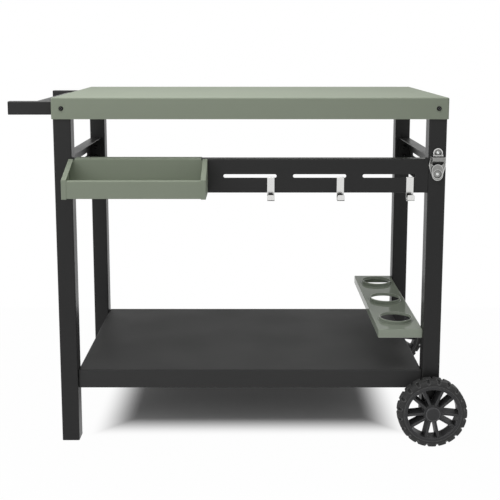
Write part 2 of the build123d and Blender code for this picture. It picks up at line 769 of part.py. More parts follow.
# Screws and bolts, one file for each set
screw = socket_screw(screw_head_radius, screw_head_height, screw_rim_height, screw_radius, screw_length)
opener_screw = socket_screw(opener_head_radius, opener_head_height, screw_rim_height, opener_screw_radius,
                            screw_length)
bolt = socket_screw(bolt_head_radius, bolt_head_height, bolt_rim_height, bolt_radius, bolt_length)
fastener_sets = {
    "top_screws": (screw, top_seats),
    "rail_screws": (screw, rail_seats),
    "side_rail_screws": (screw, side_rail_seats),
    "shelf_screws": (screw, shelf_seats),
    "cup_holder_screws": (screw, cup_seats),
    "opener_screws": (opener_screw, opener_seats),
    "handle_bolts": (bolt, bolt_seats),
}
for set_name, (fastener, seats) in fastener_sets.items():
    with BuildPart() as fasteners:
        with Locations(*seats):
            add(fastener)
    save(fasteners, set_name)
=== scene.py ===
"""Looks of a steel serving cart: its finishes, its rounded and moulded pieces, and a plain studio."""

import logging
import math
from dataclasses import dataclass
from enum import Enum
from typing import Iterator

import bmesh
import bpy
import numpy as np
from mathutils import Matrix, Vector


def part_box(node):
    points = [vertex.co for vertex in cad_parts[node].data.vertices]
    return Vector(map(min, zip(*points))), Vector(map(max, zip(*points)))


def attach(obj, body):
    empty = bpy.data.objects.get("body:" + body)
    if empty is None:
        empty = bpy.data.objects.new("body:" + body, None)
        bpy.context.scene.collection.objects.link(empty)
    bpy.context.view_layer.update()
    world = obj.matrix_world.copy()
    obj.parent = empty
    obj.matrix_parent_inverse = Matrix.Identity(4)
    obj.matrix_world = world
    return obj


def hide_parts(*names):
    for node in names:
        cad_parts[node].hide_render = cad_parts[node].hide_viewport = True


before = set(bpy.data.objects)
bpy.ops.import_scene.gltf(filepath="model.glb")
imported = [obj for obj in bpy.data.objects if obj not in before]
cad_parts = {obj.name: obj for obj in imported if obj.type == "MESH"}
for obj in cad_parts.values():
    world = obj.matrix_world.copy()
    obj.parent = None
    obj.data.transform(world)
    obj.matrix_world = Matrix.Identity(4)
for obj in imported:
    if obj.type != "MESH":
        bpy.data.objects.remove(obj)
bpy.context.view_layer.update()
LOG = logging.getLogger("serving_cart")
MM = 0.001
TURN = 2.0 * math.pi
WHITE = "#FFFFFF"
# Points nearer than this are merged, and faces that meet below this angle are joined to one flat face.
MERGE_MM = 0.002
FLAT_DEGREES = 0.6
# Edges above the first angle are shaded sharp, and those above the second are rounded by a Bevel.
SHARP_DEGREES = 40.0
ROUNDED_DEGREES = 32.0
# Blender's Wave texture turns by this many radians over one unit of its scaled coordinate.
WAVE_RADIANS = 20.0


class Facing(Enum):
    """The way that a screw's head or a wheel's outer side faces."""

    LEFT = (-1.0, 0.0, 0.0)
    RIGHT = (1.0, 0.0, 0.0)
    FRONT = (0.0, -1.0, 0.0)
    REAR = (0.0, 1.0, 0.0)

    def axes(self) -> np.ndarray:
        """Works out the directions of a piece that faces this way.

        Returns:
            Three unit vectors as rows: across, up, and outwards.
        """
        out = np.array(self.value)
        up = np.array((0.0, 0.0, 1.0))
        return np.stack([np.cross(up, out), up, out])


class Outermost(Enum):
    """Which ends of a set of screws touch the faces of the set's box along the screws."""

    HEADS = "heads"
    SHANKS = "shanks"


# Surfaces


def corners(node: str) -> np.ndarray:
    """Lowest and highest corner of a CAD node at rest, in mm, one row each."""
    return np.array([list(corner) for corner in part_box(node)]) / MM


def soft_corners(points: np.ndarray, cuts: np.ndarray, steps: int, closed: bool) -> np.ndarray:
    """Rounds the corners of a broken line.

    Each corner c becomes the parabola (1-t)^2 a + 2t(1-t) c + t^2 b, where a and b lie on the two
    neighbouring runs, one cut's length from c. An open line keeps its two end points.

    Args:
        points: Corners, one row each, in mm.
        cuts: How far each corner is cut back, in mm, without the two ends of an open line.
        steps: Points on each rounded corner.
        closed: Whether the last point joins the first.

    Returns:
        The rounded line, one row for each point.
    """
    before = np.roll(points, 1, axis=0) - points
    after = np.roll(points, -1, axis=0) - points
    reach = np.pad(cuts, 0 if closed else 1)[:, None]
    start = points + before / np.linalg.norm(before, axis=1, keepdims=True) * reach
    end = points + after / np.linalg.norm(after, axis=1, keepdims=True) * reach
    t = np.linspace(0.0, 1.0, steps)[None, :, None]
    curve = (1 - t) ** 2 * start[:, None] + 2 * t * (1 - t) * points[:, None] + t ** 2 * end[:, None]
    if closed:
        return curve.reshape(-1, points.shape[1])
    return np.concatenate([points[:1], curve[1:-1].reshape(-1, points.shape[1]), points[-1:]])


def smooth_step(value: np.ndarray, low: float, high: float) -> np.ndarray:
    """Rises from 0 at low to 1 at high along 3t^2 - 2t^3."""
    t = np.clip((value - low) / (high - low), 0.0, 1.0)
    return t * t * (3.0 - 2.0 * t)


def run_lengths(line: np.ndarray, closed: bool) -> np.ndarray:
    """Measures along a line.

    Args:
        line: Points, one row each, in mm.
        closed: Whether the way back to the first point is measured too.

    Returns:
        The length up to each point, in mm, and at the end of the way back where the line is closed.
    """
    walk = np.concatenate([line, line[:1]]) if closed else line
    steps = np.linalg.norm(np.diff(walk, axis=0), axis=1)
    return np.concatenate([[0.0], np.cumsum(steps)])


def placed(name: str, data: bpy.types.ID) -> bpy.types.Object:
    """Puts a new object into the scene, at the origin.

    Args:
        name: The object's name.
        data: Its mesh, light or camera.

    Returns:
        The object.
    """
    obj = bpy.data.objects.new(name, data)
    bpy.context.scene.collection.objects.link(obj)
    return obj


def surface(name: str, points: np.ndarray, along: np.ndarray, across: np.ndarray,
            caps: bool = False) -> bpy.types.Object:
    """Makes one mesh of quads over a grid of points, or over several equal grids.

    The quad at row i and column j joins points (i, j), (i+1, j), (i+1, j+1) and (i, j+1). A direction
    wraps round where its list of lengths has one more entry than the grid has points. The UV map holds
    the lengths along and across the grid, in mm.

    Args:
        name: The object's name.
        points: Places in mm, shaped (copies, rows, columns, 3).
        along: Length at each row, in mm.
        across: Length at each column, in mm.
        caps: Whether the first and last row are closed with a face.

    Returns:
        The object, at the origin, smooth shaded and with its faces outwards.
    """
    copies, rows, columns, _ = points.shape
    index = np.arange(copies * rows * columns).reshape(copies, rows, columns)
    if len(along) > rows:
        index = np.concatenate([index, index[:, :1]], axis=1)
    if len(across) > columns:
        index = np.concatenate([index, index[:, :, :1]], axis=2)
    places = [(slice(None, -1), slice(None, -1)), (slice(1, None), slice(None, -1)),
              (slice(1, None), slice(1, None)), (slice(None, -1), slice(1, None))]
    quads = np.stack([index[(slice(None),) + place] for place in places], axis=-1).reshape(-1, 4)
    chart = np.stack(np.meshgrid(along, across, indexing="ij"), axis=-1)
    corner_uv = np.stack([chart[place] for place in places], axis=2)
    uv = np.broadcast_to(corner_uv, (copies,) + corner_uv.shape).reshape(-1, 2)
    faces = quads.tolist()
    if caps:
        faces += index[:, 0, :columns].tolist() + index[:, rows - 1, :columns].tolist()
        uv = np.concatenate([uv, np.zeros((2 * copies * columns, 2))])
    mesh = bpy.data.meshes.new(name)
    mesh.from_pydata((points.reshape(-1, 3) * MM).tolist(), [], faces)
    mesh.uv_layers.new(name="lengths").data.foreach_set("uv", uv.astype(np.float32).ravel())
    clean(mesh)
    return placed(name, mesh)


def clean(mesh: bpy.types.Mesh, join_flat: bool = False) -> None:
    """Merges double points, turns faces outwards, and sets smooth shading with sharp edges.

    Args:
        mesh: The mesh to clean, in place.
        join_flat: Whether faces that lie flat together are joined.
    """
    work = bmesh.new()
    work.from_mesh(mesh)
    bmesh.ops.remove_doubles(work, verts=work.verts, dist=MERGE_MM * MM)
    if join_flat:
        bmesh.ops.dissolve_limit(work, angle_limit=math.radians(FLAT_DEGREES), verts=work.verts,
                                 edges=work.edges)
    bmesh.ops.recalc_face_normals(work, faces=work.faces)
    work.to_mesh(mesh)
    work.free()
    mesh.polygons.foreach_set("use_smooth", np.ones(len(mesh.polygons), bool))
    mesh.set_sharp_from_angle(angle=math.radians(SHARP_DEGREES))


def lathe(profile: np.ndarray, centres: np.ndarray, facing: Facing, segments: int) -> np.ndarray:
    """Turns a profile of radii and heights round an axis.

    The point at turn f on profile point (r, h) is centre + r cos f * across + r sin f * up + h * out.

    Args:
        profile: Radii and heights in mm, shaped (points, 2), or (points, segments, 2) where they change
            round the turn.
        centres: Places of the copies in mm, shaped (copies, 3).
        facing: The way that the axis points.
        segments: Points round the turn.

    Returns:
        Grids of points in mm, shaped (copies, points, segments, 3).
    """
    across, up, out = facing.axes()
    turn = np.arange(segments) * TURN / segments
    shape = profile if profile.ndim == 3 else np.repeat(profile[:, None], segments, axis=1)
    radius, height = shape[..., :1], shape[..., 1:]
    ring = np.cos(turn)[:, None] * across + np.sin(turn)[:, None] * up
    return centres[:, None, None] + (radius * ring + height * out)[None]


def softened(node: str, name: str, edge_mm: float, segments: int) -> bpy.types.Object:
    """Copies a CAD node, merges its triangles into faces and rounds its sharp edges with a Bevel.

    Args:
        node: The CAD node that the copy stands for.
        name: The copy's name.
        edge_mm: Width of the rounded edges.
        segments: Faces across a rounded edge.

    Returns:
        The copy, which replaces the node.
    """
    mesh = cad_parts[node].data.copy()
    mesh.name = name
    custom = mesh.attributes.get("custom_normal")
    if custom is not None:
        mesh.attributes.remove(custom)
    clean(mesh, join_flat=True)
    obj = placed(name, mesh)
    bevel = obj.modifiers.new("rounded edges", "BEVEL")
    bevel.width = edge_mm * MM
    bevel.segments = segments
    bevel.limit_method = "ANGLE"
    bevel.angle_limit = math.radians(ROUNDED_DEGREES)
    bevel.harden_normals = True
    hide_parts(node)
    return obj


def fitted(obj: bpy.types.Object, body: str, finish: bpy.types.Material, slot: str) -> bpy.types.Object:
    """Gives a new piece its material and its body.

    Args:
        obj: The piece.
        body: The CAD body that it rides.
        finish: Its material.
        slot: Not used.

    Returns:
        The piece.
    """
    obj.data.materials.clear()
    obj.data.materials.append(finish)
    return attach(obj, body)


def painted(finish: bpy.types.Material, *nodes: str) -> Iterator[bpy.types.Object]:
    """Puts a finish in the material slots of CAD nodes.

    Args:
        finish: The material.
        nodes: Names of the nodes.

    Yields:
        Each node's object.
    """
    for name in nodes:
        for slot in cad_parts[name].material_slots:
            slot.material = finish
        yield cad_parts[name]


# Finishes


def linear(colour: str) -> tuple[float, float, float, float]:
    """Turns an sRGB hex colour to linear light.

    A channel c becomes c / 12.92 up to 0.04045, and ((c + 0.055) / 1.055)^2.4 above it.

    Args:
        colour: Six hex digits after a hash.

    Returns:
        Red, green, blue and an alpha of 1.
    """
    srgb = np.array([int(colour[i:i + 2], 16) for i in (1, 3, 5)]) / 255.0
    light = np.where(srgb <= 0.04045, srgb / 12.92, ((srgb + 0.055) / 1.055) ** 2.4)
    return (*light.tolist(), 1.0)


def blank_tree(block: bpy.types.Material | bpy.types.World) -> bpy.types.NodeTree:
    """Turns on the nodes of a material or world and empties them.

    Args:
        block: The material or world.

    Returns:
        Its node tree, with no nodes.
    """
    block.use_nodes = True
    block.node_tree.nodes.clear()
    return block.node_tree


def add_node(tree: bpy.types.NodeTree, kind: str, inputs: dict | None = None,
             **settings: object) -> bpy.types.Node:
    """Adds one node with its settings, and joins or sets its inputs.

    Args:
        tree: The node tree.
        kind: The node's type.
        inputs: Input names or numbers, each with an output to join or a value to set.
        settings: The node's own settings.

    Returns:
        The node.
    """
    node = tree.nodes.new(kind)
    for key, value in settings.items():
        setattr(node, key, value)
    for key, value in (inputs or {}).items():
        if isinstance(value, bpy.types.NodeSocket):
            tree.links.new(value, node.inputs[key])
        else:
            node.inputs[key].default_value = value
    return node


@dataclass(frozen=True)
class Finish:
    """A surface finish: a colour that drifts a little, a gloss that drifts with it, and a fine relief.

    Attributes:
        name: What the real surface is.
        colour: Main colour, sRGB hex.
        drift: Colour that the surface drifts towards, sRGB hex.
        drift_mm: Size of the patches of that drift.
        roughness: Lowest and highest roughness.
        grain_mm: Width of one grain of the relief.
        grain_height_mm: Height of the relief.
        drift_detail: How often the drift's noise is broken up finer.
        drift_span: The noise's values at the lowest and highest roughness.
        grain_detail: How often the grain's noise is broken up finer.
        relief_strength: How much of the relief's height shows.
        metallic: 1 for bare metal and 0 for paint, plastic and rubber.
        specular: Strength of the reflection at a head-on look.
        painted_shade: Colour of the painted shade in what lies deep, sRGB hex, or None where no shade is
            painted.
        painted_shade_mm: How near the piece's own walls shut such a place in.
        painted_shade_span: How open a place is where the painted shade begins, and where it is full.
        painted_highlight: Colour of the painted highlight on the outer edges, sRGB hex, or None where none is
            painted.
        painted_highlight_mm: How far from an edge the painted highlight reaches.
        painted_highlight_span: How near the faces are where the painted highlight begins, and where it is
            full.
    """

    name: str
    colour: str
    drift: str
    drift_mm: float
    roughness: tuple[float, float]
    grain_mm: float
    grain_height_mm: float
    drift_detail: float = 3.0
    drift_span: tuple[float, float] = (0.3, 0.7)
    grain_detail: float = 2.0
    relief_strength: float = 0.6
    metallic: float = 0.0
    specular: float = 0.5
    painted_shade: str | None = None
    painted_shade_mm: float = 5.0
    painted_shade_span: tuple[float, float] = (0.85, 0.4)
    painted_highlight: str | None = None
    painted_highlight_mm: float = 1.4
    painted_highlight_span: tuple[float, float] = (0.9, 0.5)

    def place(self, tree: bpy.types.NodeTree) -> bpy.types.NodeSocket:
        """Coordinates that the patterns are drawn on, in metres of the object itself."""
        return add_node(tree, "ShaderNodeTexCoord").outputs["Object"]

    def relief(self, tree: bpy.types.NodeTree, place: bpy.types.NodeSocket) -> bpy.types.NodeSocket:
        """Height of the surface from 0 to 1, here a soft noise with one grain to each wave."""
        return add_node(tree, "ShaderNodeTexNoise", {
            "Vector": place, "Scale": 1.0 / (self.grain_mm * MM), "Detail": self.grain_detail}).outputs["Fac"]

    def add_painted_light(self, tree: bpy.types.NodeTree, colour: bpy.types.NodeSocket) -> bpy.types.NodeSocket:
        """Paints shade into hollows and highlights onto edges, where the finish has a colour for them.

        A hollow, where the piece's own walls shut a place in from outside, gets painted shade. An edge,
        where the piece's own faces are near from inside, gets a painted highlight.

        Args:
            tree: The material's nodes.
            colour: The colour of the open, flat surface.

        Returns:
            The colour with both added.
        """
        # Ambient occlusion from outside paints shade into hollows, and from inside paints a highlight on
        # edges.
        for shade, reach, inside, span in ((self.painted_shade, self.painted_shade_mm, False, self.painted_shade_span),
                                           (self.painted_highlight, self.painted_highlight_mm, True, self.painted_highlight_span)):
            if shade is not None:
                free = add_node(tree, "ShaderNodeAmbientOcclusion", {"Distance": reach * MM}, inside=inside,
                                only_local=True).outputs["AO"]
                share = add_node(tree, "ShaderNodeMapRange", {
                    "Value": free, "From Min": span[0], "From Max": span[1]}).outputs["Result"]
                colour = add_node(tree, "ShaderNodeMix", {"Factor": share, "A": colour, "B": linear(shade)},
                                  data_type="RGBA").outputs["Result"]
        return colour

    def make(self) -> bpy.types.Material:
        """Builds the material's nodes.

        Returns:
            The material, named for the finish.
        """
        material = bpy.data.materials.new(self.name)
        tree = blank_tree(material)
        place = self.place(tree)
        patch = add_node(tree, "ShaderNodeTexNoise", {
            "Vector": place, "Scale": 1.0 / (self.drift_mm * MM), "Detail": self.drift_detail}).outputs["Fac"]
        height = self.relief(tree, place)
        open_colour = add_node(tree, "ShaderNodeMix", {
            "Factor": patch, "A": linear(self.colour), "B": linear(self.drift)}, data_type="RGBA")
        # The open colour with painted shade in the hollows and painted highlights on the edges.
        colour = self.add_painted_light(tree, open_colour.outputs["Result"])
        gloss = add_node(tree, "ShaderNodeMapRange", {
            "Value": patch, "From Min": self.drift_span[0], "From Max": self.drift_span[1],
            "To Min": self.roughness[0], "To Max": self.roughness[1]})
        bump = add_node(tree, "ShaderNodeBump", {
            "Height": height, "Strength": self.relief_strength, "Distance": self.grain_height_mm * MM})
        shader = add_node(tree, "ShaderNodeBsdfPrincipled", {
            "Base Color": colour, "Roughness": gloss.outputs["Result"], "Metallic": self.metallic,
            "Specular IOR Level": self.specular, "Normal": bump.outputs["Normal"]})
        add_node(tree, "ShaderNodeOutputMaterial", {"Surface": shader.outputs["BSDF"]})
        return material


@dataclass(frozen=True)
class PowderCoat(Finish):
    """Baked powder paint on sheet steel: satin, with the low orange-peel waves of the melted powder."""

    peel_share: float = 0.6

    def relief(self, tree: bpy.types.NodeTree, place: bpy.types.NodeSocket) -> bpy.types.NodeSocket:
        """Orange peel: rounded cells one grain wide, broken by a finer noise.

        Args:
            tree: The material's nodes.
            place: The coordinates that it is drawn on.

        Returns:
            The height, from 0 to 1.
        """
        cells = add_node(tree, "ShaderNodeTexVoronoi", {
            "Vector": place, "Scale": 1.0 / (self.grain_mm * MM), "Smoothness": 1.0}, feature="SMOOTH_F1")
        fine = super().relief(tree, place)
        return add_node(tree, "ShaderNodeMix", {
            "Factor": self.peel_share, "A": fine, "B": cells.outputs["Distance"]}).outputs["Result"]


@dataclass(frozen=True)
class BrushedPlate(Finish):
    """Strip steel that was brushed along its length and then plated: fine lines that follow the strip."""

    line_stretch: float = 40.0

    def place(self, tree: bpy.types.NodeTree) -> bpy.types.NodeSocket:
        """The strip's own lengths, in metres, squeezed along it so that each grain is a long line."""
        chart = add_node(tree, "ShaderNodeTexCoord").outputs["UV"]
        return add_node(tree, "ShaderNodeMapping", {
            "Vector": chart, "Scale": (MM / self.line_stretch, MM, MM)}).outputs["Vector"]


@dataclass(frozen=True)
class TyreRubber(Finish):
    """Moulded rubber: dull, with faint rings that the mould leaves round the sidewall and tread."""

    ring_mm: float = 2.4
    ring_share: float = 0.35

    def relief(self, tree: bpy.types.NodeTree, place: bpy.types.NodeSocket) -> bpy.types.NodeSocket:
        """Mould rings, even waves across the tyre's own section, under the rubber's fine grain.

        Args:
            tree: The material's nodes.
            place: The coordinates that the grain is drawn on.

        Returns:
            The height, from 0 to 1.
        """
        chart = add_node(tree, "ShaderNodeTexCoord").outputs["UV"]
        rings = add_node(tree, "ShaderNodeTexWave", {
            "Vector": chart, "Scale": TURN / (WAVE_RADIANS * self.ring_mm)}, bands_direction="X")
        fine = super().relief(tree, place)
        return add_node(tree, "ShaderNodeMix", {
            "Factor": self.ring_share, "A": fine, "B": rings.outputs["Fac"]}).outputs["Result"]


class FinishSet:
    """The cart's finishes, made once. Grains finer than a pixel are drawn coarser, so that they show."""

    def __init__(self) -> None:
        """Makes every material of the cart."""
        # Sage powder paint: an even, soft green that stays green at a low angle.
        self.sage = PowderCoat(
            "sage powder-coated steel", colour="#A1AA98", drift="#A5AE9C", drift_mm=160.0,
            roughness=(0.56, 0.62), grain_mm=1.6, grain_height_mm=0.05, specular=0.12).make()
        # The same paint on the cup rack, where it flowed out smooth: the dark leg behind shows in it faintly.
        # Its colour is painted paler than the top's paint, as painted light where the table top shades it; it
        # also has painted shade where its own walls close in and a painted highlight on its edges.
        self.smooth_sage = PowderCoat(
            "smooth sage powder-coated steel", colour="#B4BDAD", drift="#B8C1B1", drift_mm=160.0,
            roughness=(0.03, 0.05), grain_mm=1.6, grain_height_mm=0.002, specular=0.05, painted_shade="#363C34",
            painted_shade_mm=7.0, painted_shade_span=(0.92, 0.6), painted_highlight="#EEF2EA", painted_highlight_mm=0.9).make()
        # Satin black powder paint on the tubes: near black head on, bright where it is seen edge on.
        self.black = PowderCoat(
            "satin black powder-coated steel", colour="#2E2E2E", drift="#323232", drift_mm=120.0,
            roughness=(0.34, 0.4), grain_mm=1.2, grain_height_mm=0.04, specular=0.22).make()
        # Fine-textured black powder paint on the shelf: dull, and grey where it is seen at a low angle.
        self.textured = PowderCoat(
            "textured black powder-coated steel", colour="#484848", drift="#4C4C4C", drift_mm=140.0,
            roughness=(0.5, 0.58), grain_mm=1.2, grain_height_mm=0.08, specular=0.1).make()
        # Nylon plugs with a spark-eroded mould face: dark and dull.
        self.nylon = Finish(
            "moulded black nylon", colour="#222223", drift="#282829", drift_mm=25.0,
            roughness=(0.5, 0.6), grain_mm=0.8, grain_height_mm=0.05, specular=0.3).make()
        # Polypropylene wheel rims: charcoal, with a low gloss and a painted highlight along the edges.
        self.rim = Finish(
            "moulded polypropylene", colour="#464647", drift="#4B4B4C", drift_mm=40.0,
            roughness=(0.44, 0.52), grain_mm=0.9, grain_height_mm=0.04, specular=0.2,
            painted_highlight="#98989A", painted_highlight_mm=2.4).make()
        # Solid rubber tyres: charcoal and dull, with painted shade deep in the grooves and a painted
        # highlight on the lug edges.
        self.tyre = TyreRubber(
            "moulded tyre rubber", colour="#444444", drift="#4C4C4C", drift_mm=30.0,
            roughness=(0.58, 0.7), grain_mm=0.9, grain_height_mm=0.06, specular=0.25,
            painted_shade="#202020", painted_highlight="#9A9A9A", painted_highlight_mm=3.0).make()
        # Nickel-plated strip: bright, with fine lines along the strip, and painted shade inside the curl.
        self.nickel = BrushedPlate(
            "brushed nickel-plated strip", colour="#E2E2E0", drift="#D6D6D4", drift_mm=3.0,
            roughness=(0.16, 0.26), grain_mm=0.5, grain_height_mm=0.01, metallic=1.0,
            painted_shade="#1A1A1A", painted_shade_mm=20.0, painted_shade_span=(0.92, 0.72)).make()
        # Tumbled die-cast zinc opener: grey metal with a faintly pitted skin, a painted highlight on the
        # edges and painted shade in the hollows.
        self.cast = Finish(
            "tumbled die-cast zinc", colour="#969694", drift="#848482", drift_mm=6.0,
            roughness=(0.26, 0.36), grain_mm=1.1, grain_height_mm=0.05, metallic=1.0,
            painted_shade="#141414", painted_shade_mm=6.0, painted_shade_span=(0.85, 0.5),
            painted_highlight="#F4F4F2", painted_highlight_mm=2.0).make()
        # Zinc plating on the axle, washers, nuts and opener screws: pale bright metal with cloudy patches.
        self.zinc = Finish(
            "bright zinc-plated steel", colour="#E4E5E3", drift="#D4D6D6", drift_mm=8.0,
            roughness=(0.2, 0.3), grain_mm=0.6, grain_height_mm=0.02, metallic=1.0).make()
        # Black-oxide screws: dark steel with an oily gloss, and a painted highlight on the edges round the
        # socket.
        self.oxide = Finish(
            "black-oxide steel", colour="#101011", drift="#161617", drift_mm=5.0,
            roughness=(0.2, 0.28), grain_mm=0.5, grain_height_mm=0.02, specular=0.2,
            painted_highlight="#F2F2F2", painted_highlight_mm=0.8).make()


# The cart, with its sizes in mm


@dataclass
class ButtonScrews:
    """A set of equal button-head screws with hexagon sockets, shown from their heads down to their seats."""

    node: str
    finish: bpy.types.Material
    facings: tuple[Facing, ...]
    outermost: Outermost
    slot: str = "black_steel"
    head_radius: float = 5.25
    head_height: float = 3.0
    rim_height: float = 0.8
    shank: float = 14.0
    socket_radius: float = 2.1
    socket_depth: float = 1.9
    crown_flat: float = 0.75
    socket_lip: float = 0.25
    dome_steps: int = 12
    segments: int = 48

    def profile(self) -> np.ndarray:
        """Radii and heights of the head on a grid of profile points by turns.

        Outside the socket, the head is a rim, a quarter ellipse from the rim to the crown, and a small
        flat. In the socket, a ring at turn f has the hexagon's radius, which is its half width over
        cos(f taken to the nearest flat).

        Returns:
            An array shaped (points, segments, 2), in mm.
        """
        turn = np.arange(self.segments) * TURN / self.segments
        dome = np.linspace(0.0, TURN / 4, self.dome_steps)
        crown = self.socket_radius + self.crown_flat
        dome_radius = crown + (self.head_radius - crown) * np.cos(dome)
        dome_height = self.rim_height + (self.head_height - self.rim_height) * np.sin(dome)
        outer = np.stack([np.concatenate([[self.head_radius], dome_radius]),
                          np.concatenate([[0.0], dome_height])], axis=-1)
        flat = TURN / 6
        off_flat = np.mod(turn + flat / 2, flat) - flat / 2
        hexagon = self.socket_radius * math.cos(flat / 2) / np.cos(off_flat)
        floor = self.head_height - self.socket_depth
        inner = [(hexagon + self.socket_lip, self.head_height), (hexagon, self.head_height - self.socket_lip),
                 (hexagon, floor), (np.zeros_like(turn), floor)]
        rings = np.stack([np.stack([radius, np.full_like(turn, height)], axis=-1)
                          for radius, height in inner])
        return np.concatenate([np.repeat(outer[:, None], self.segments, axis=1), rings])

    def seats(self, facing: Facing) -> np.ndarray:
        """Places under the heads that face one way, worked out from the box of the CAD set.

        Along the screws, a seat lies one head's height or one shank's length inside the box. Across them,
        a screw stands one head's radius inside each face, or in the middle where the box is one head wide.

        Args:
            facing: The way that the heads face.

        Returns:
            Places in mm, one row each.
        """
        low, high = corners(self.node)
        axis = int(np.argmax(np.abs(facing.value)))
        out = facing.value[axis]
        far, near = (high, low) if out > 0 else (low, high)
        heads_out = self.outermost is Outermost.HEADS
        level = far[axis] - out * self.head_height if heads_out else near[axis] + out * self.shank
        inset = np.stack([low + self.head_radius, high - self.head_radius], axis=-1)
        spans = [pair if pair[1] - pair[0] > self.head_radius else pair.mean(keepdims=True) for pair in inset]
        spans[axis] = np.array([level])
        return np.stack(np.meshgrid(*spans, indexing="ij"), axis=-1).reshape(-1, 3)

    def build(self) -> bpy.types.Object:
        """Makes all the heads of the set.

        Returns:
            The heads, as one piece that rides the frame.
        """
        profile = self.profile()
        grids = np.concatenate([lathe(profile, self.seats(facing), facing, self.segments)
                                for facing in self.facings])
        along = run_lengths(profile[:, 0], closed=False)
        across = np.arange(self.segments + 1) * TURN * self.head_radius / self.segments
        heads = surface(f"{self.node}_heads", grids, along, across)
        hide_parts(self.node)
        return fitted(heads, "frame", self.finish, self.slot)


@dataclass
class OpenerScrews(ButtonScrews):
    """The opener's two small screws, the upper one seated deeper than the lower one."""

    slot: str = "zinc_steel"
    head_radius: float = 3.6
    head_height: float = 2.4
    socket_radius: float = 1.5
    socket_depth: float = 1.5
    crown_flat: float = 0.45
    tab_setback: float = 1.0

    def seats(self, facing: Facing) -> np.ndarray:
        """Places under the two heads, with the upper one set back into the tab.

        Args:
            facing: The way that the heads face.

        Returns:
            Places in mm, one row each.
        """
        places = super().seats(facing)
        upper = places[:, 2] == places[:, 2].max()
        return places - upper[:, None] * np.array(facing.value) * self.tab_setback


@dataclass
class HandleBolts(ButtonScrews):
    """The larger bolts that hold the handle's arms."""

    head_radius: float = 7.0
    head_height: float = 4.0
    rim_height: float = 1.2
    socket_radius: float = 2.9
    socket_depth: float = 2.6


@dataclass
class Worktop:
    """The sheet lid with its corner screws."""

    finishes: FinishSet

    def build(self) -> Iterator[bpy.types.Object]:
        """Paints the lid and makes its screws."""
        yield from painted(self.finishes.sage, "table_top")
        yield ButtonScrews("top_screws", self.finishes.oxide, (Facing.FRONT, Facing.REAR),
                           Outermost.HEADS).build()


@dataclass
class LegFrame:
    """Legs, their plugs, and the slotted rails between them."""

    finishes: FinishSet
    plug_edge: float = 0.5
    plug_edge_faces: int = 2

    def build(self) -> Iterator[bpy.types.Object]:
        """Paints the tubes and rails, softens the plugs and makes the rail screws.

        Yields:
            Each piece.
        """
        places = [f"{depth}_{side}" for depth in ("front", "rear") for side in ("left", "right")]
        yield from painted(self.finishes.black, "hook_rail", "side_rail_left", "side_rail_right",
                           *[f"leg_{place}" for place in places])
        for plug in ("foot_front_left", "foot_rear_left", "leg_plug_front_right", "leg_plug_rear_right"):
            moulded = softened(plug, f"{plug}_moulded", self.plug_edge, self.plug_edge_faces)
            yield fitted(moulded, "frame", self.finishes.nylon, "black_plastic")
        for node, facings in (("rail_screws", (Facing.RIGHT, Facing.LEFT)),
                              ("side_rail_screws", (Facing.REAR, Facing.FRONT))):
            yield ButtonScrews(node, self.finishes.oxide, facings, Outermost.SHANKS).build()


@dataclass
class LowerShelf:
    """The black shelf and the screws in its end folds."""

    finishes: FinishSet

    def build(self) -> Iterator[bpy.types.Object]:
        """Paints the shelf and makes its screws."""
        yield from painted(self.finishes.textured, "lower_shelf")
        yield ButtonScrews("shelf_screws", self.finishes.oxide, (Facing.RIGHT, Facing.LEFT),
                           Outermost.SHANKS).build()


@dataclass
class CupRack:
    """The narrow cup holder between the right legs."""

    finishes: FinishSet

    def build(self) -> Iterator[bpy.types.Object]:
        """Paints the rack and makes its screws."""
        yield from painted(self.finishes.smooth_sage, "cup_holder")
        yield ButtonScrews("cup_holder_screws", self.finishes.oxide, (Facing.LEFT,), Outermost.HEADS).build()


@dataclass
class SpiceTray:
    """The hanging tray with its two end caps."""

    finishes: FinishSet

    def build(self) -> Iterator[bpy.types.Object]:
        """Paints the tray's sheet and ends."""
        yield from painted(self.finishes.sage, "tray_shell", "tray_end_left", "tray_end_right")


